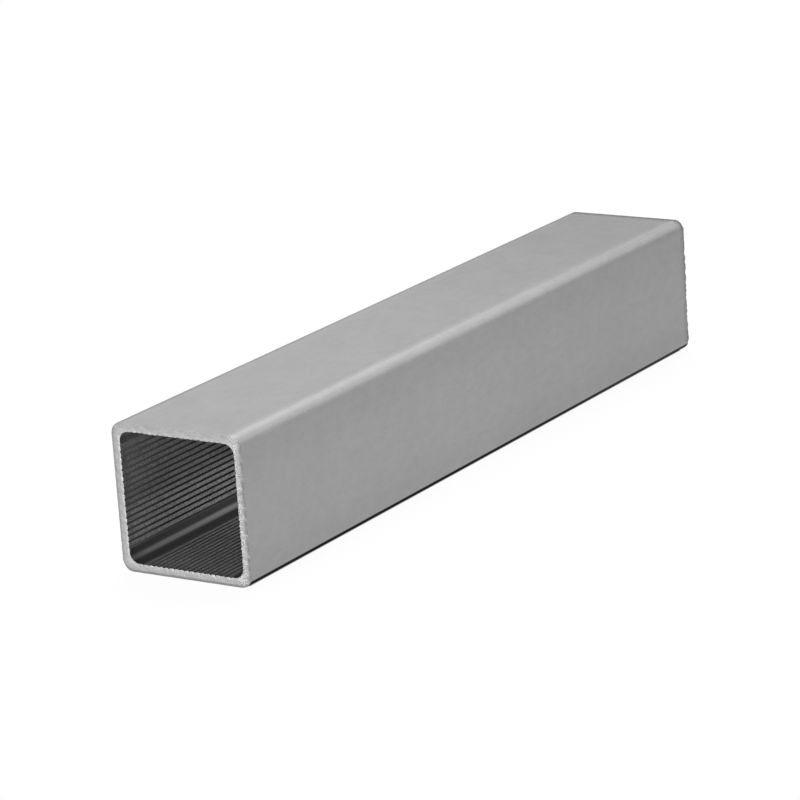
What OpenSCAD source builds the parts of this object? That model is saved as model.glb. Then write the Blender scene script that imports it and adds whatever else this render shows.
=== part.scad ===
// Square metal tube: one straight length of extruded aluminium, sawn off at both ends.
// The tube lies on its lower face with its length along Y. The origin is the middle of that
// face, +Z points up, and all sizes are in millimetres.

/* [Tube] */
// Outside width and height of the square section
side = 25; // [20:0.5:60]
// Length of the sawn piece, from cut to cut
cut_length = 146; // [40:1:1000]
// Thickness of the four walls, away from the grooves
wall = 1.5; // [1:0.1:3]
// Radius of the four long edges outside
edge_r = 2.0; // [0.5:0.1:3]
// Radius of the four long corners inside
corner_r = 1.7; // [0.5:0.1:3]

/* [Fine grooves in the bore] */
// Distance from the middle of one groove to the middle of the next
groove_pitch = 1; // [0.8:0.05:3]
// Width of a groove, which is half round, so that it is half as deep as it is wide
groove_w = 0.4; // [0.2:0.05:0.7]
// Least distance from the end of a corner's radius to the middle of the first groove
plain_band = 0.5; // [0.4:0.1:3]

/* [Hidden] */
$fn = 64;

// Width and height of the bore, from wall to wall
bore = side - 2 * wall;
// Width of the strip on each inner wall that the grooves may fill
grooved_w = bore - 2 * corner_r - 2 * plain_band;
groove_count = floor(grooved_w / groove_pitch) + 1;

// A square with round corners, centred on the origin of the section
module rounded_square(width, r) {
    square([width, width - 2 * r], center = true);
    square([width - 2 * r, width], center = true);
    for (x = [-1, 1], y = [-1, 1])
        translate([x, y] * (width / 2 - r))
            circle(r);
}

// The grooves of one inner wall, side by side and centred, each cut by a round centred on
// the wall's surface
module groove_row() {
    for (i = [0 : groove_count - 1])
        translate([(i - (groove_count - 1) / 2) * groove_pitch, -bore / 2])
            circle(d = groove_w);
}

// The open space in the middle of the section: the square bore and the grooves in all four
// of its walls
module grooved_bore() {
    rounded_square(bore, corner_r);
    for (turn = [0 : 3])
        rotate(90 * turn)
            groove_row();
}

// The section that the die gives the metal
module tube_section() {
    difference() {
        rounded_square(side, edge_r);
        grooved_bore();
    }
}

// The section drawn out along Y to the sawn length, standing on its lower face
module square_tube() {
    color("silver")
        translate([0, cut_length / 2, side / 2])
            rotate([90, 0, 0])
                linear_extrude(height = cut_length)
                    tube_section();
}

square_tube();
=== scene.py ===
# %% [markdown]
# # A length of square aluminium tube
#
# The subject is one piece of metal stock: a square tube, pressed through a die, anodised to a satin grey
# and sawn off at both ends. Nothing is fastened to it. What makes it more than a plain box is the bore,
# whose four walls carry fine lengthwise grooves from the die, and the two sawn ends, where the blade left
# its marks and a rough rim.
#
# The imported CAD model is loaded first. It fixes the place and the size of the tube, and everything below
# is measured from it.

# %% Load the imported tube
import math

import bmesh
import bpy
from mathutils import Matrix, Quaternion, Vector


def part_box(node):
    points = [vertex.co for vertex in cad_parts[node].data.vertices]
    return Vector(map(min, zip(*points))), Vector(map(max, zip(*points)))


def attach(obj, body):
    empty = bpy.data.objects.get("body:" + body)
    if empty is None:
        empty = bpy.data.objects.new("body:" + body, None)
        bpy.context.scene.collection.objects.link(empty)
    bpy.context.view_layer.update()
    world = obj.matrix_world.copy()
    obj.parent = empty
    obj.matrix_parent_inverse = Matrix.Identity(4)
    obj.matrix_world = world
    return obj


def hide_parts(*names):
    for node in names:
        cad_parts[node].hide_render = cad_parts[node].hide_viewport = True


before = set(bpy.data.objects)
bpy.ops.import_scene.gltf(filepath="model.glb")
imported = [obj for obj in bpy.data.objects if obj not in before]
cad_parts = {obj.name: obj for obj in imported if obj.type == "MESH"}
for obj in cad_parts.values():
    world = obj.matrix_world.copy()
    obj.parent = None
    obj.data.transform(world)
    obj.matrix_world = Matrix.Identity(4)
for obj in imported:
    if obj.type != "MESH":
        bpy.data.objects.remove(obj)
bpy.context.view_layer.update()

MM = 0.001

# %% [markdown]
# ## The camera
#
# The picture looks down on the tube from the right of its open end, with a long lens from about sixty
# centimetres away, so the long edges draw together only a little. A camera can be placed by hand or worked
# out from the lines of the object. Here the corners and the long and short edges fix it: one point to aim
# at, a distance, two angles, and a small roll, because the tube's upright edges lean in the picture.

# %% Set up the camera
camera_aim = Vector((-3.39, -3.17, 9.78)) * MM
camera_distance = 633.5 * MM
camera_azimuth = math.radians(33.344)
camera_elevation = math.radians(16.131)
camera_roll = math.radians(-3.918)
camera_lens = 164.38
nearest_seen = 10 * MM

backward = Vector((
    math.sin(camera_azimuth) * math.cos(camera_elevation),
    -math.cos(camera_azimuth) * math.cos(camera_elevation),
    math.sin(camera_elevation),
))
bpy.ops.object.camera_add(location=camera_aim + backward * camera_distance)
camera = bpy.context.object
camera.rotation_mode = "QUATERNION"
camera.rotation_quaternion = backward.to_track_quat("Z", "Y") @ Quaternion((0, 0, 1), camera_roll)
camera.data.lens = camera_lens
camera.data.clip_start = nearest_seen
bpy.context.scene.camera = camera
print("Camera is", round(camera.location.length / MM), "mm from the middle of the tube's lower face")

# %% [markdown]
# ## Sizes
#
# The outside comes from the CAD model's box. The wall, the radii and the grooves are the real sizes of the
# section, and every place below is worked out from them.

# %% Name the sizes of the section
low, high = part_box("square_tube")
side = high.x - low.x
length = high.y - low.y
front_y, back_y = low.y, high.y
middle_z = (low.z + high.z) / 2

wall = 1.5 * MM
edge_r = 2.0 * MM
corner_r = 1.7 * MM
groove_pitch = 1.0 * MM
groove_w = 0.4 * MM
groove_depth = groove_w / 2
groove_count = 18

bore = side - 2 * wall
bore_floor_z = low.z + wall
outer_flat = side - 2 * edge_r
bore_flat = bore - 2 * corner_r
tiny = 0.001 * MM
merge_gap = 10 * tiny
print(f"Tube {side / MM:.1f} x {side / MM:.1f} x {length / MM:.1f} mm, bore {bore / MM:.1f} mm")

# %% [markdown]
# ## Working like a pair of hands
#
# The tube is modelled with the same operators that the menus hold. An operator works on whatever is
# selected, so each step first lets go of everything and then picks what it needs by its place. These
# helpers do that picking, and the small moves that come again and again.

# %% Define the helpers for selecting and extruding
def activate(obj):
    """Lets go of everything and makes obj the one object that operators work on."""
    if bpy.context.mode != "OBJECT":
        bpy.ops.object.mode_set(mode="OBJECT")
    bpy.ops.object.select_all(action="DESELECT")
    obj.select_set(True)
    bpy.context.view_layer.objects.active = obj


def pick(test):
    """In edit mode, selects the vertices whose place passes the test, and the edges and faces they make."""
    bpy.ops.mesh.select_all(action="DESELECT")
    mesh = bpy.context.object.data
    drawn = bmesh.from_edit_mesh(mesh)
    for vertex in drawn.verts:
        vertex.select_set(test(vertex.co))
    drawn.select_flush(True)
    bmesh.update_edit_mesh(mesh)


def draw_on(offset, steps=1):
    """Extrudes the selection along offset in equal steps, and keeps the new end selected."""
    for _ in range(steps):
        bpy.ops.mesh.extrude_region_move(TRANSFORM_OT_translate={"value": Vector(offset) / steps})


def count_points():
    """The number of vertices of the mesh in edit mode."""
    return len(bmesh.from_edit_mesh(bpy.context.object.data).verts)


# %% [markdown]
# ## One groove
#
# In the section a groove is half of a small circle, cut into the wall's surface. A circle is added with its
# centre on that surface, stood upright in the plane of the front cut, and its upper half is deleted. From
# its right-hand end the land is drawn on, the strip of wall before the next groove. Together they are one
# tooth of the pattern.

# %% Draw one groove and the land beside it
groove_steps = 8
land_steps = 4
quarter_turn = math.radians(90)
first_groove_x = -(groove_count - 1) / 2 * groove_pitch

bpy.ops.object.select_all(action="DESELECT")
bpy.ops.mesh.primitive_circle_add(
    vertices=2 * groove_steps,
    radius=groove_depth,
    location=(first_groove_x, front_y, bore_floor_z),
    rotation=(quarter_turn, 0, 0),
)
tube = bpy.context.object
tube.name = "sawn_square_tube"
bpy.ops.object.transform_apply(location=True, rotation=True, scale=True)
bpy.ops.object.mode_set(mode="EDIT")
bpy.ops.mesh.select_mode(type="VERT")
pick(lambda co: co.z > bore_floor_z + tiny)
bpy.ops.mesh.delete(type="VERT")
pick(lambda co: co.x > first_groove_x + groove_w / 2 - tiny)
draw_on((groove_pitch - groove_w, 0, 0), land_steps)
print("One tooth of the pattern has", count_points(), "points")

# %% [markdown]
# ## A row of grooves
#
# The die gives each wall the same row. An Array modifier repeats the tooth at the groove pitch and merges
# the points where two teeth meet, so the row becomes one unbroken line. The land after the last groove is
# deleted, so that the row is the same on both sides of its middle.

# %% Repeat the tooth along the wall
bpy.ops.object.mode_set(mode="OBJECT")
row = tube.modifiers.new("groove row", "ARRAY")
row.count = groove_count
row.use_relative_offset = False
row.use_constant_offset = True
row.constant_offset_displace = (groove_pitch, 0, 0)
row.use_merge_vertices = True
row.merge_threshold = merge_gap
bpy.ops.object.modifier_apply(modifier=row.name)
row_end = groove_w / 2 - first_groove_x
bpy.ops.object.mode_set(mode="EDIT")
pick(lambda co: co.x > row_end + tiny)
bpy.ops.mesh.delete(type="VERT")
print("The row has", count_points(), "points")

# %% [markdown]
# ## The line of the outer face
#
# The ring of metal between the bore and the outside will be bridged from two lines, and it comes out evenly
# if both have the same number of points. So the outer line is the inner one again: it is duplicated,
# dropped by the wall's thickness, and squeezed flat by scaling its height to nothing.

# %% Copy the row to the outer face
bpy.ops.mesh.select_all(action="SELECT")
bpy.ops.mesh.duplicate()
bpy.ops.transform.translate(value=(0, 0, -wall))
bpy.ops.transform.resize(value=(1, 1, 0), center_override=(0, front_y, low.z))
print("Inner and outer row together have", count_points(), "points")

# %% [markdown]
# ## Plain strips and corners
#
# Past the last groove on either side the wall is plain up to the corner, and the corner is an arc. On each
# line the plain strips are drawn on at both ends, and then the Spin tool turns the last point through a
# quarter circle about the corner's own centre. Both lines get the same number of steps.

# %% Draw the plain strips and spin the corners
strip_steps = 5
corner_steps = 16
along_tube = (0, 1, 0)

for flat, level, radius in ((bore_flat, bore_floor_z, corner_r), (outer_flat, low.z, edge_r)):
    for end in (-1, 1):
        pick(lambda co: end * co.x > row_end - tiny and abs(co.z - level) < tiny)
        draw_on((end * (flat / 2 - row_end), 0, 0), strip_steps)
    bpy.ops.mesh.spin(
        steps=corner_steps,
        angle=quarter_turn,
        center=(flat / 2, front_y, level + radius),
        axis=along_tube,
    )
print("A quarter of the section has", count_points(), "points")

# %% [markdown]
# ## The whole section
#
# What is drawn now is exactly one quarter of the section. A second spin, which leaves copies this time,
# turns it three times about the middle of the tube, and merging the doubled points closes both lines.
# Bridging them fills in the ring of metal, with a few rows of faces across the wall for the saw marks.

# %% Turn the quarter into a whole and bridge the ring
rows_across_wall = 7

bpy.ops.mesh.select_all(action="SELECT")
bpy.ops.mesh.spin(
    steps=3,
    dupli=True,
    angle=3 * quarter_turn,
    center=(0, front_y, middle_z),
    axis=along_tube,
)
bpy.ops.mesh.select_all(action="SELECT")
bpy.ops.mesh.remove_doubles(threshold=merge_gap)
print("The section has", count_points(), "points on two closed lines")
bpy.ops.mesh.bridge_edge_loops(number_cuts=rows_across_wall - 1, interpolation="LINEAR")
section = bmesh.from_edit_mesh(tube.data)
print("Ring of metal:", round(sum(face.calc_area() for face in section.faces) / MM**2, 2), "mm2")

# %% [markdown]
# ## From section to solid
#
# Extruding the ring along Y is what the press does. The steps are short beside the cuts, where the rim is
# going to be rough, and long in between, where the tube is straight. Merged faces may point either way, so
# the normals are worked out again once the solid is closed.

# %% Extrude the tube
rim_steps = [0.25 * MM, 0.35 * MM, 0.9 * MM]
middle_steps = 12

bpy.ops.mesh.select_all(action="SELECT")
for step in rim_steps:
    draw_on((0, step, 0))
draw_on((0, length - 2 * sum(rim_steps), 0), middle_steps)
for step in reversed(rim_steps):
    draw_on((0, step, 0))
bpy.ops.mesh.select_all(action="SELECT")
bpy.ops.mesh.normals_make_consistent(inside=False)
solid = bmesh.from_edit_mesh(tube.data)
open_edges = sum(not edge.is_manifold for edge in solid.edges)
print("Solid:", len(solid.faces), "faces and", open_edges, "open edges")
print("Volume of metal:", round(solid.calc_volume() / MM**3), "mm3")
bpy.ops.object.mode_set(mode="OBJECT")

# %% [markdown]
# ## Which face is which
#
# One piece of metal shows three surfaces. The outside has the satin skin, the bore was never finished and is
# duller, and the sawn ends are bare metal. The faces are picked by where their middles lie while the tube is
# still exact, and each set gets a material slot of its own.

# %% Sort the faces into skin, bore and sawn ends
skin_look = bpy.data.materials.new("satin_skin")
bore_look = bpy.data.materials.new("extruded_bore")
sawn_look = bpy.data.materials.new("sawn_metal")


def depth_inside(co, width, radius):
    """How far a point of the section lies inside a rounded square, and less than 0 outside it."""
    x = abs(co.x) - (width / 2 - radius)
    z = abs(co.z - middle_z) - (width / 2 - radius)
    return radius - math.hypot(max(x, 0), max(z, 0)) - min(max(x, z), 0)


def assign(look, test):
    """Gives a new material slot to the faces whose middle passes the test, and prints how many."""
    tube.data.materials.append(look)
    chosen = [face for face in tube.data.polygons if test(face.center)]
    for face in chosen:
        face.material_index = len(tube.data.materials) - 1
    print(look.name, "covers", len(chosen), "faces")


assign(skin_look, lambda co: depth_inside(co, side, edge_r) < wall / 2)
assign(bore_look, lambda co: depth_inside(co, side, edge_r) > wall / 2)
assign(sawn_look, lambda co: length / 2 - abs(co.y) < tiny)

# %% [markdown]
# ## Breaking the edges
#
# No sawn edge stays perfectly sharp. At both cuts the outer line of points is set back a little and drawn in
# a little, which breaks the edge. On the inner line the blade smeared some metal into the mouths of the
# grooves, so each wall's groove points are squeezed halfway towards the wall's surface. Then that line is
# set back too.

# %% Set the rims back
outer_break = 0.03 * MM
outer_draw = 0.02 * MM
inner_break = 0.04 * MM
mouth_share = 0.5


def on_line(co, cut_y, depth):
    """Whether a point lies on the plane of a cut and no deeper in the bore's walls than the depth."""
    return abs(co.y - cut_y) < tiny and depth_inside(co, bore, corner_r) > -depth - tiny


bpy.ops.object.mode_set(mode="EDIT")
for cut_y, inward in ((front_y, 1), (back_y, -1)):
    pick(lambda co: abs(co.y - cut_y) < tiny and depth_inside(co, side, edge_r) < tiny)
    bpy.ops.transform.translate(value=(0, inward * outer_break, 0))
    drawn_in = 1 - 2 * outer_draw / side
    bpy.ops.transform.resize(value=(drawn_in, 1, drawn_in), center_override=(0, cut_y, middle_z))
    for wall_x, wall_z in ((-1, 0), (1, 0), (0, -1), (0, 1)):
        outward = Vector((wall_x, 0, wall_z))
        surface = Vector((0, cut_y, middle_z)) + outward * bore / 2
        pick(lambda co: on_line(co, cut_y, groove_depth) and (co - surface).dot(outward) > tiny)
        squeeze = (mouth_share if wall_x else 1, 1, mouth_share if wall_z else 1)
        bpy.ops.transform.resize(value=squeeze, center_override=surface)
    pick(lambda co: on_line(co, cut_y, mouth_share * groove_depth))
    bpy.ops.transform.translate(value=(0, inward * inner_break, 0))
bpy.ops.object.mode_set(mode="OBJECT")
print(f"Edges set back by {outer_break / MM:.2f} mm outside and {inner_break / MM:.2f} mm inside")

# %% [markdown]
# ## Marks of the saw
#
# A circular blade leaves rows of shallow arcs on a cut, because its teeth sweep through the metal a little at
# a time. They are rings about the blade's middle, far outside the tube. A Wood texture in its ring form gives
# just that when its coordinates come from an Empty that stands where the blade's middle was. Its rings are a
# sine that turns by 20 radians in one unit, so the Empty's size sets their pitch, and a little noise makes
# them wobble. A Displace modifier presses the rings into the cut. A vertex group holds them to the last
# millimetre of the tube.

# %% Press the arcs of the blade into both ends
mark_pitch = 1.5 * MM
mark_depth = 0.045 * MM
mark_reach = 0.9 * MM
radians_in_unit = 20
wobble_size = 0.6
wobble = 2.5


def fade(distance, reach):
    """1 at no distance and falling to 0 at the reach."""
    return max(0, 1 - max(distance, 0) / reach)


def paint(name, weight_at):
    """Adds a vertex group whose weights come from weight_at, a function of the place."""
    group = tube.vertex_groups.new(name=name)
    for vertex in tube.data.vertices:
        weight = weight_at(vertex.co)
        if weight > 0:
            group.add([vertex.index], weight, "REPLACE")
    return name


def press(name, group, texture, direction, depth, about=None):
    """Displaces the vertex group by a texture, from 0 to the depth, and applies the modifier."""
    displace = tube.modifiers.new(name, "DISPLACE")
    displace.texture = texture
    displace.vertex_group = group
    displace.direction = direction
    displace.mid_level = 0
    displace.strength = depth
    if about:
        displace.texture_coords = "OBJECT"
        displace.texture_coords_object = about
    activate(tube)
    bpy.ops.object.modifier_apply(modifier=displace.name)


rings = bpy.data.textures.new("blade rings", "WOOD")
rings.wood_type = "RINGNOISE"
rings.noise_scale = wobble_size
rings.turbulence = wobble
rings.use_clamp = True

front_blade = Vector((46, 0, 118)) * MM
back_blade = Vector((-62, 0, 109)) * MM
for name, cut_y, inward, blade in (
    ("front marks", front_y, 1, front_blade),
    ("back marks", back_y, -1, back_blade),
):
    bpy.ops.object.empty_add(location=(blade.x, cut_y, blade.z))
    hub = bpy.context.object
    hub.scale = [mark_pitch * radians_in_unit / math.tau] * 3
    bpy.context.view_layer.update()
    group = paint(name, lambda co: fade(abs(co.y - cut_y), mark_reach))
    press(name, group, rings, "Y", inward * mark_depth, about=hub)
    bpy.data.objects.remove(hub)
    print(name, "are pressed in about a middle", round(blade.length / MM), "mm away")

# %% [markdown]
# ## Torn rims
#
# Aluminium is soft, so the blade tears small crumbs out of the inner rims. A cloudy texture eats into them by
# less than a tenth of a millimetre, along the surface's own normals. The outer right-hand rim of the front
# cut is torn too, and there the texture presses along the tube and reaches further across the wall. The same
# rim of the back cut is notched deeper, where the blade came out.

# %% Eat into the rims
rim_reach = 0.3 * MM
rim_depth = 0.06 * MM
torn_reach = 0.8 * MM
torn_depth = 0.12 * MM
notch_depth = 0.35 * MM
smooth_below = math.radians(40)


def crumble(name, size, contrast):
    """A cloudy texture of soft spots, with most of it at 0 or 1 where the contrast is high."""
    clouds = bpy.data.textures.new(name, "CLOUDS")
    clouds.noise_scale = size
    clouds.contrast = contrast
    clouds.use_clamp = True
    return clouds


def rim_weight(co):
    """1 on the inner rims of the two cuts, fading across the wall and along the tube."""
    from_bore = -depth_inside(co, bore, corner_r)
    from_cut = length / 2 - abs(co.y)
    return fade(from_bore, rim_reach) * fade(from_cut, 2 * rim_reach)


def torn_weight(co, from_cut):
    """1 on the outer right-hand rim of a cut, fading across the wall and along the tube."""
    return fade(side / 2 - co.x, torn_reach) * fade(from_cut, torn_reach)


crumbs = crumble("crumbs", 0.7 * MM, 2)
chips = crumble("chips", 0.8 * MM, 3)
press("crumbs", paint("rims", rim_weight), crumbs, "NORMAL", -rim_depth)
front_rim = paint("front rim", lambda co: torn_weight(co, co.y - front_y))
back_rim = paint("back rim", lambda co: torn_weight(co, back_y - co.y))
press("chips", front_rim, chips, "Y", torn_depth)
press("notches", back_rim, chips, "Y", -notch_depth)
bpy.ops.object.shade_smooth_by_angle(angle=smooth_below)
places = [vertex.co.y for vertex in tube.data.vertices]
print("Length after sawing:", round((max(places) - min(places)) / MM, 3), "mm")

# %% [markdown]
# ## Writing materials as formulas
#
# A material is a small calculation that runs at every point of the surface. The two classes below let it be
# written as one. A Wire is the output of a node, and Python's operators on it add Math nodes. A Sheet is the
# node tree of one material, and its add method makes any other node in a single line. The small functions
# after them name the sums that come again and again.

# %% Define the wires and the sheets
class Wire:
    """The output of a node, on which arithmetic adds Math nodes."""

    def __init__(self, sheet, socket):
        self.sheet = sheet
        self.socket = socket

    def twin(self, name):
        """Another output of the same node."""
        return Wire(self.sheet, self.socket.node.outputs[name])

    def __add__(self, other):
        return self.sheet.math("ADD", self, other)

    def __sub__(self, other):
        return self.sheet.math("SUBTRACT", self, other)

    def __rsub__(self, other):
        return self.sheet.math("SUBTRACT", other, self)

    def __mul__(self, other):
        return self.sheet.math("MULTIPLY", self, other)

    def __truediv__(self, other):
        return self.sheet.math("DIVIDE", self, other)

    def __pow__(self, other):
        return self.sheet.math("POWER", self, other)

    def __gt__(self, other):
        return self.sheet.math("GREATER_THAN", self, other)

    def __lt__(self, other):
        return self.sheet.math("LESS_THAN", self, other)

    def __abs__(self):
        return self.sheet.math("ABSOLUTE", self)

    __radd__ = __add__
    __rmul__ = __mul__


class Sheet:
    """The node tree of one material, with the object's own coordinates at hand."""

    def __init__(self, look):
        look.use_nodes = True
        self.tree = look.node_tree
        self.surface = self.tree.nodes["Principled BSDF"]
        self.place = self.add("ShaderNodeTexCoord", {}, {}, "Object")
        self.x = self.add("ShaderNodeSeparateXYZ", {}, {0: self.place}, "X")
        self.y = self.x.twin("Y")
        self.z = self.x.twin("Z")

    def put(self, socket, value):
        """Links a wire to a socket, or sets the socket to a plain value."""
        if isinstance(value, Wire):
            self.tree.links.new(value.socket, socket)
        else:
            socket.default_value = value

    def add(self, kind, settings, values, result=0):
        """Adds a node, sets it up, fills its sockets and returns one of its outputs."""
        node = self.tree.nodes.new(kind)
        for name, setting in settings.items():
            setattr(node, name, setting)
        for name, value in values.items():
            self.put(node.inputs[name], value)
        return Wire(self, node.outputs[result])

    def math(self, operation, *values):
        """Adds a Math node."""
        return self.add("ShaderNodeMath", {"operation": operation}, dict(enumerate(values)))

    def most(self, first, second):
        """The larger of two values."""
        return self.math("MAXIMUM", first, second)

    def least(self, first, second):
        """The smaller of two values."""
        return self.math("MINIMUM", first, second)

    def rise(self, value, start, end):
        """Goes smoothly from 0 to 1 while the value goes from start to end."""
        settings = {"interpolation_type": "SMOOTHSTEP"}
        return self.add("ShaderNodeMapRange", settings, {"Value": value, "From Min": start, "From Max": end})

    def fall(self, value, start, end):
        """Goes smoothly from 1 to 0 while the value goes from start to end."""
        return 1 - self.rise(value, start, end)

    def noise(self, size, detail=2, stretch=(1, 1, 1), place=None):
        """Soft noise from 0 to 1, with spots of the size, longer where the stretch is more than 1."""
        place = place or self.place
        scale = [1 / factor for factor in stretch]
        spot = self.add("ShaderNodeVectorMath", {"operation": "MULTIPLY"}, {0: place, 1: scale})
        return self.add("ShaderNodeTexNoise", {}, {"Vector": spot, "Scale": 1 / size, "Detail": detail})

    def mix(self, factor, first, second):
        """Mixes two colours."""
        settings = {"data_type": "RGBA"}
        return self.add("ShaderNodeMix", settings, {0: factor, 6: first, 7: second}, 2)

    def shade(self, level):
        """The neutral colour of a level."""
        return self.mix(level, grey(0), grey(1))

    def cover(self, share, shader):
        """Lays another shader over the surface, as thickly as the share says."""
        bare = Wire(self, self.surface.outputs[0])
        both = self.add("ShaderNodeMixShader", {}, {0: share, 1: bare, 2: shader})
        self.put(self.tree.nodes["Material Output"].inputs["Surface"], both)

    def finish(self, colour, roughness, height, relief, metallic=1):
        """Connects the colour, the roughness and the bump, whose height of 1 stands for the relief."""
        self.put(self.surface.inputs["Base Color"], colour)
        self.put(self.surface.inputs["Roughness"], roughness)
        self.put(self.surface.inputs["Metallic"], metallic)
        bump = self.add("ShaderNodeBump", {}, {"Height": height, "Distance": relief})
        self.put(self.surface.inputs["Normal"], bump)


def grey(level):
    """A neutral colour."""
    return (level, level, level, 1)


def sway(noise, share):
    """Noise that swings evenly about 0, over the share in all."""
    return share * (noise - 0.5)


def less(mask, share):
    """A factor that takes the share away where the mask is 1."""
    return 1 - share * mask


def between(first, second, mask):
    """The first value where the mask is 0, and the second where it is 1."""
    return first + (second - first) * mask


# %% [markdown]
# ## The satin skin
#
# The outside was etched and anodised, which leaves a soft and even grey sheen. Noise of different sizes keeps
# it from being flat: cloudy patches of some millimetres, smaller mottles, faint lines along the length from
# the die, the fine grain of the etching and a few dark specks. All of it is weak, so that the skin still
# looks even from afar.

# %% Make the skin uneven
skin = Sheet(skin_look)
clouds = skin.noise(8 * MM)
mottles = skin.noise(1.4 * MM, 2, stretch=(1, 2, 1))
die_lines = skin.noise(0.3 * MM, 3, stretch=(1, 160, 1))
grain = skin.noise(0.16 * MM)
specks = skin.rise(skin.noise(0.5 * MM, 0), 0.7, 0.8)
uneven = sway(clouds, 0.09) + sway(mottles, 0.15) + sway(die_lines, 0.07) + sway(grain, 0.1)
print("The five noises and their sum take", len(skin.tree.nodes), "nodes")

# %% [markdown]
# ## Marks, painted shade and painted highlights on the skin
#
# Where a mark lies follows from a point's place: its height above the ground, its distance from the back cut
# or from an edge. At the back cut, where the blade came out, a band with a ragged border and a dark line at
# its very rim are painted shade of the rough rim. Handling made the two upper edges rougher, and a painted
# highlight brightens the middle of their bend, while painted shade darkens the upper left edge as a whole.
# Painted shade also makes the faces slightly darker towards the back, and the sides towards their lower and
# upper edges.

# %% Mark the rims, the edges and the darker parts
height = skin.z - low.z
from_back = back_y - skin.y
from_left = skin.x + side / 2
from_side = side / 2 - abs(skin.x)

teeth = skin.rise(skin.noise(0.45 * MM, 1), 0.4, 0.6)
# Painted shade: a band with a ragged border and a dark line at the back cut's rim.
burr_shade = skin.fall(from_back + 0.7 * MM * teeth, 1.3 * MM, 2.1 * MM)
burr_shade_line = skin.fall(from_back, 0.4 * MM, 0.9 * MM) * (1 - teeth)
# Painted shade along the upper left rounded edge.
upper_left_shade = skin.fall(from_left, 1.9 * MM, 2.6 * MM) * (height > side - edge_r)
on_top = skin.rise(height, side - edge_r, side - edge_r / 2)
past_top = skin.fall(from_side, 0.4 * edge_r, 0.65 * edge_r)
# Painted highlight in the middle of the upper edges' bend.
painted_edge_highlight = past_top * skin.rise(height, side - 0.75 * edge_r, side - 0.4 * edge_r)
on_edge = skin.fall(from_side, edge_r, 1.6 * edge_r) * on_top
# Painted shade: darker low and high on the sides and towards the back.
low_side = skin.fall(height, 1.2 * MM, 9 * MM)
high_side = skin.rise(height, 15 * MM, 22 * MM) * skin.fall(height, 23 * MM, 23.6 * MM)
far_part = skin.rise(skin.y, -10 * MM, length / 2)

# The real specks, and the painted shade of the back rim and of the upper left edge.
marks = less(burr_shade, 0.2 + 0.16 * on_top) * less(burr_shade_line, 0.4) * less(upper_left_shade, 0.2) * less(specks, 0.1)
painted_falloff = less(low_side, 0.07) * less(high_side, 0.05) * less(far_part, 0.06 + 0.06 * on_top)
print("The marks bring the skin to", len(skin.tree.nodes), "nodes")

# %% [markdown]
# ## Colour, sheen and painted shade line of the skin
#
# The level of grey is the skin's own, times all that makes it uneven, marked, painted darker or painted
# brighter. The grain and the die's lines also stand out as a bump of about a hundredth of a millimetre. Along
# the lower rounded edges runs a dark line of painted shade, for the shadowed ground right under the edge that
# it mirrors. Darker metal would still mirror the white ground, so it is a matt layer instead: a Diffuse
# shader that a Mix Shader lays over the metal, a little thinner towards the back.

# %% Finish the skin
skin_level = 0.345
skin_relief = 0.012 * MM
shade_line_level = 0.015

skin.finish(
    colour=skin.shade(skin_level * (1 + uneven) * marks * painted_falloff * (1 + 0.2 * painted_edge_highlight)),
    roughness=0.46 + 0.1 * on_edge + sway(clouds, 0.03) + sway(die_lines, 0.08),
    height=grain + 0.4 * die_lines,
    relief=skin_relief,
)
# Painted shade: a dark matt line along the lower rounded edges, for the shadowed ground they mirror.
shade_line = skin.rise(height, 0.2 * MM, 0.45 * MM) * skin.fall(height, 1.1 * MM, 1.4 * MM)
matt_shade_cover = skin.add("ShaderNodeBsdfDiffuse", {}, {"Color": grey(shade_line_level)})
skin.cover(shade_line * (0.99 - 0.08 * far_part), matt_shade_cover)
print("The finished skin has", len(skin.tree.nodes), "nodes")

# %% [markdown]
# ## The bore
#
# Inside, the metal is as it left the die. It is duller and scatters more light. The lands between the grooves
# carry a painted sheen and the middle of each corner a painted highlight, while the plain strips between them
# are left dark. A point's place alone tells which is which: its distances from the two middle planes say
# where on the wall it lies, and what goes deeper than the wall's surface is a groove.

# %% Find the parts of the bore
corner_half = 0.95 * MM
corner_core = 0.15 * MM
corner_lean = 0.33 * MM

inside = Sheet(bore_look)
across_x = abs(inside.x)
across_z = abs(inside.z - middle_z)
towards_wall = inside.most(across_x, across_z)
along_wall = inside.least(across_x, across_z)
depth = length / 2 - abs(inside.y)
height = inside.z - bore_floor_z

in_groove = inside.rise(towards_wall - bore / 2, 0, 0.06 * MM)
in_row = inside.fall(along_wall, row_end - groove_w, row_end)
last_groove = inside.rise(along_wall, row_end - 1.5 * groove_w, row_end - groove_w)
beside_row = inside.fall(along_wall, row_end, row_end + 0.5 * MM)
in_corner = inside.fall(abs(across_x - across_z - corner_lean), corner_core, corner_half)
on_side = inside.rise(across_x - across_z, -1.5 * MM, 1.5 * MM)
low_part = inside.fall(height, 6.5 * MM, 11.5 * MM)
reached = inside.rise(depth, 0, 30 * MM)
at_mouth = inside.fall(depth, 1 * MM, 5 * MM)
just_inside = inside.fall(depth, 0.6 * MM, 2.4 * MM)
print("The parts of the bore take", len(inside.tree.nodes), "nodes")

# %% [markdown]
# ## Tones, painted light and painted shade of the bore
#
# Streaks along the length and small specks keep the lands from being flat. Painted light makes the walls
# darkest just inside the mouth and brighter further in, the side walls more so than the floor. The grooves
# are painted dark as shade, less so at the mouth, high on the walls and in the last groove beside a corner.
# With a Metallic of about a half the surface also scatters some light, so that the bore stays readable from
# any side.

# %% Make the surface of the bore
land_level = 0.38
plain_level = 0.085
groove_level = 0.03
bore_metal = 0.45
bore_relief = 0.02 * MM

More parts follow.
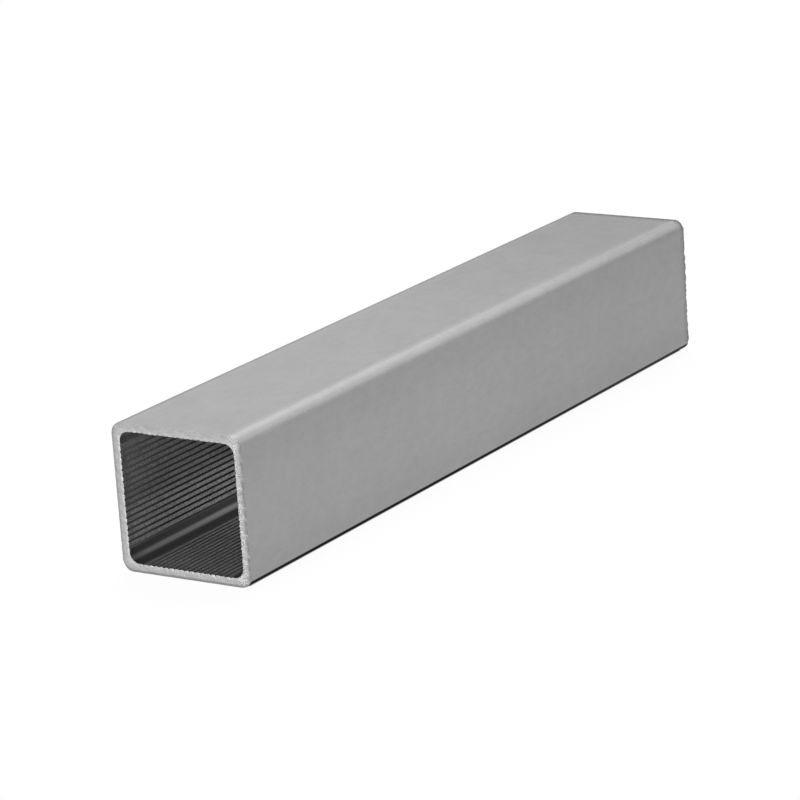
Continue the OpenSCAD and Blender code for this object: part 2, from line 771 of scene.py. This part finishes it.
streaks = inside.noise(0.25 * MM, 3, stretch=(1, 60, 1))
specks = inside.rise(inside.noise(0.28 * MM, 3), 0.35, 0.65)
wear = 0.58 + 0.45 * streaks + in_row * sway(specks, 0.6)
wear = wear * (0.96 + 0.04 * inside.rise(height, 0.4 * MM, 1.6 * MM))

# Painted sheen on the lands, and a painted highlight in the middle of each corner that grows stronger further
# in.
painted_sheen = inside.most(in_row, in_corner * (0.8 + 0.3 * reached - 0.22 * at_mouth))
# The plain strips, painted a little lighter high on the walls and beside the rows.
plain = plain_level * (1 + 1.5 * inside.rise(height, 12 * MM, 20 * MM) + 0.5 * beside_row)
# Painted light: brighter with depth and on the side walls, darker just inside the mouth.
floor_lit = 0.76 + 0.36 * reached
side_lit = 0.58 + 0.59 * reached + low_part * (0.3 + 0.43 * reached)
lit = between(floor_lit, side_lit, on_side) * less(just_inside, 0.3)
land = between(plain, land_level, painted_sheen) * wear * lit

# Painted shade in the grooves, lighter at the mouth, high on the walls and in the last groove.
shade_lift = 1.3 * inside.fall(depth, 1 * MM, 14 * MM) + 1.2 * inside.rise(height, 6 * MM, 18 * MM)
groove_shade = groove_level * (0.6 + shade_lift + 1.6 * last_groove) * (1.15 + 0.35 * on_side)
inside.finish(
    colour=inside.shade(between(land, groove_shade, in_groove)),
    roughness=0.5 + sway(streaks, 0.3),
    height=streaks + 0.5 * specks,
    relief=bore_relief,
    metallic=bore_metal,
)
print("The finished bore has", len(inside.tree.nodes), "nodes")

# %% [markdown]
# ## The scratches of the blade
#
# The cut is bare and the brightest part. The blade's fine scratches run along the same arcs as its marks.
# They come from noise whose coordinates are the distance from the blade's middle and the angle about it, so
# each spot of noise is drawn out into an arc. Each end has its own middle. Round blotches and pits lie in
# between.

# %% Scratch the sawn metal
sawn = Sheet(sawn_look)
at_back = sawn.y > 0
hub_x = sawn.x - between(front_blade.x, back_blade.x, at_back)
hub_z = sawn.z - between(front_blade.z, back_blade.z, at_back)
radius = (hub_x * hub_x + hub_z * hub_z) ** 0.5
along_arc = front_blade.z * sawn.math("ARCTAN2", hub_x, hub_z)
arc_place = sawn.add("ShaderNodeCombineXYZ", {}, {"X": radius, "Y": along_arc, "Z": sawn.y})

scratches = sawn.noise(0.12 * MM, 3, stretch=(1, 30, 1), place=arc_place)
blotches = sawn.noise(0.7 * MM, 3)
pits = sawn.rise(sawn.noise(0.2 * MM, 2), 0.3, 0.7)
print("The scratches take", len(sawn.tree.nodes), "nodes")

# %% [markdown]
# ## The rims of the sawn metal
#
# Across the wall the cut isn't even. Beside the bore a painted highlight runs along the rim, and at the
# outside the rim rolls over a little and is painted darker as shade, most of all underneath and hardly on
# top. The right-hand wall is the roughest and a little lighter as a whole, and at its outer rim some darker
# metal is smeared over the front cut. How deep a point lies inside the outline is worked out as for the
# faces, now with nodes.

# %% Finish the sawn metal
sawn_level = 0.45
sawn_relief = 0.022 * MM


def depth_in_shader(sheet, width, radius):
    """The depth inside a rounded square, as depth_inside gives it, for a material."""
    x = abs(sheet.x) - (width / 2 - radius)
    z = abs(sheet.z - middle_z) - (width / 2 - radius)
    out_x = sheet.most(x, 0)
    out_z = sheet.most(z, 0)
    return radius - (out_x * out_x + out_z * out_z) ** 0.5 - sheet.least(sheet.most(x, z), 0)


height = sawn.z - low.z
from_right = side / 2 - sawn.x
from_outside = depth_in_shader(sawn, side, edge_r)
# Painted highlight along the inner rim beside the bore.
rim_highlight = sawn.fall(wall - from_outside, 0.15 * MM, 0.7 * MM)
low_rim = sawn.fall(height, 0.5 * MM, 1 * MM)
on_top = sawn.rise(height, side - wall, side - wall / 2)
on_sides = sawn.rise(abs(sawn.x), side / 2 - 1 * MM, side / 2 - 0.5 * MM)
on_right = sawn.rise(sawn.x, bore / 2 - corner_r, bore / 2)

# Painted shade on the rolled outer rim, most underneath and least on top.
roll = 0.14 + 0.05 * on_sides + 0.3 * low_rim - 0.08 * on_top
rolled_rim_shade = roll * sawn.fall(from_outside, 0.25 * MM, 0.6 * MM)
# The rims' painted highlight and shade, and the right-hand wall a little lighter.
rims = (1 + 0.14 * rim_highlight) * (1 + 0.1 * on_right) * (1 - rolled_rim_shade)
smear = 0.6 * pits + 0.6 * blotches - 0.4 * (from_right / torn_reach)
smeared = sawn.rise(smear, 0.4, 0.5) * (sawn.y < 0)
uneven = sway(scratches, 0.36) + sway(blotches, 0.28) + sway(pits, 0.28 + 0.7 * on_right)
sawn.finish(
    colour=sawn.shade(sawn_level * (1 + uneven) * rims * less(smeared, 0.55)),
    roughness=0.55 + sway(scratches, 0.3),
    height=0.6 * scratches + pits,
    relief=sawn_relief,
)
print("The finished cut has", len(sawn.tree.nodes), "nodes")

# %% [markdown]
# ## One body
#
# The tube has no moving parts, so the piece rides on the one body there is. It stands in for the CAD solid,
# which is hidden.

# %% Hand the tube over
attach(tube, "root")
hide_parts("square_tube")
print(tube.name, "stands in for square_tube")

# %% [markdown]
# ## Floor
#
# The tube lies on white paper. To the camera and in reflections the paper glows white by itself, as a lit
# studio floor does. Close to the tube the glow is a little weaker, so that a trace of shadow stays. Under the
# tube the glow ends and the paper is painted nearly black, a painted shadow of the narrow gap, which leaves
# the dark line of contact.

# %% Lay the floor
floor_size = 4
floor_gap = 0.02 * MM
paper_level = 0.9
gap_shadow_level = 0.02
own_light = 0.94
free_of_shadow = 45 * MM
contact_start = -1.5 * MM
contact_end = -1.1 * MM
gap_shadow_start = -1.6 * MM
gap_shadow_end = -1.2 * MM

bpy.ops.object.select_all(action="DESELECT")
bpy.ops.mesh.primitive_plane_add(size=floor_size, location=(0, 0, low.z - floor_gap))
floor = bpy.context.object
floor.name = "floor"
paper_look = bpy.data.materials.new("floor_paper")
floor.data.materials.append(paper_look)

paper = Sheet(paper_look)
beyond = paper.most(abs(paper.x) - side / 2, abs(paper.y) - length / 2)
# Painted shadow: the paper under the tube is nearly black.
outside_gap_shadow = paper.rise(beyond, gap_shadow_start, gap_shadow_end)
paper_and_gap_shadow = paper.mix(outside_gap_shadow, grey(gap_shadow_level), grey(paper_level))
paper.put(paper.surface.inputs["Base Color"], paper_and_gap_shadow)
paper.put(paper.surface.inputs["Roughness"], 1)

from_camera = paper.add("ShaderNodeLightPath", {}, {}, "Is Camera Ray")
mirrored = paper.most(from_camera.twin("Is Glossy Ray"), from_camera.twin("Is Transmission Ray"))
out_of_contact = paper.rise(beyond, contact_start, contact_end)
own = own_light + (1 - own_light) * paper.rise(beyond, contact_end, free_of_shadow)
glow = paper.add("ShaderNodeEmission", {}, {"Color": grey(1), "Strength": 1})
paper.cover(paper.most(from_camera, mirrored) * out_of_contact * own, glow)
print("The floor lies", round(floor_gap / MM, 2), "mm below the tube")

# %% [markdown]
# ## Light
#
# Satin metal shows what it mirrors, only softly, so the lamps are placed where the surfaces look. The top
# mirrors a low place behind the tube on the left, and the rounded edge mirrors an arc that rises from there,
# passes over the tube and comes down on the right. Six large softboxes stand along that arc, two and a half
# metres away, and their powers shape the bright band on the edge. The side mirrors the white floor. A small
# fill stands low in front, a little to the right, and reaches into the bore, and an even world lifts
# everything a little.

# %% Light the tube
world_strength = 0.5
far_away = 2.5
near_by = 0.7

world = bpy.data.worlds.new("studio")
bpy.context.scene.world = world
world.use_nodes = True
world.node_tree.nodes["Background"].inputs["Color"].default_value = grey(1)
world.node_tree.nodes["Background"].inputs["Strength"].default_value = world_strength
bpy.context.scene.view_settings.view_transform = "Standard"


def softbox(name, direction, distance, width, height, watts):
    """Adds an area light that looks at the tube from the direction."""
    towards = Vector(direction).normalized()
    bpy.ops.object.light_add(type="AREA", location=Vector((0, 0, middle_z)) + towards * distance)
    lamp = bpy.context.object
    lamp.name = name
    lamp.rotation_euler = towards.to_track_quat("Z", "Y").to_euler()
    lamp.data.shape = "RECTANGLE"
    lamp.data.size = width
    lamp.data.size_y = height
    lamp.data.energy = watts
    print(f"{name}: {watts} W from {distance} m")


def on_the_arc(turn, rise):
    """The direction that is turned to the right from straight behind the tube, and raised."""
    turn = math.radians(turn)
    rise = math.radians(rise)
    return (math.sin(turn) * math.cos(rise), math.cos(turn) * math.cos(rise), math.sin(rise))


softbox("low_left", on_the_arc(-45, 18), far_away, width=0.8, height=0.7, watts=0.9)
softbox("overhead", on_the_arc(-25, 62), far_away, width=1.2, height=1, watts=35)
softbox("behind_left", on_the_arc(-8, 36), far_away, width=1, height=0.8, watts=0.9)
softbox("behind_right", on_the_arc(12, 33), far_away, width=1.1, height=0.8, watts=3.6)
softbox("right", on_the_arc(30, 27), far_away, width=0.9, height=0.6, watts=3.9)
softbox("low_right", on_the_arc(44, 12), far_away, width=0.8, height=0.6, watts=2.5)
softbox("fill", (0.3, -0.91, 0.28), near_by, width=0.15, height=0.15, watts=4.2)
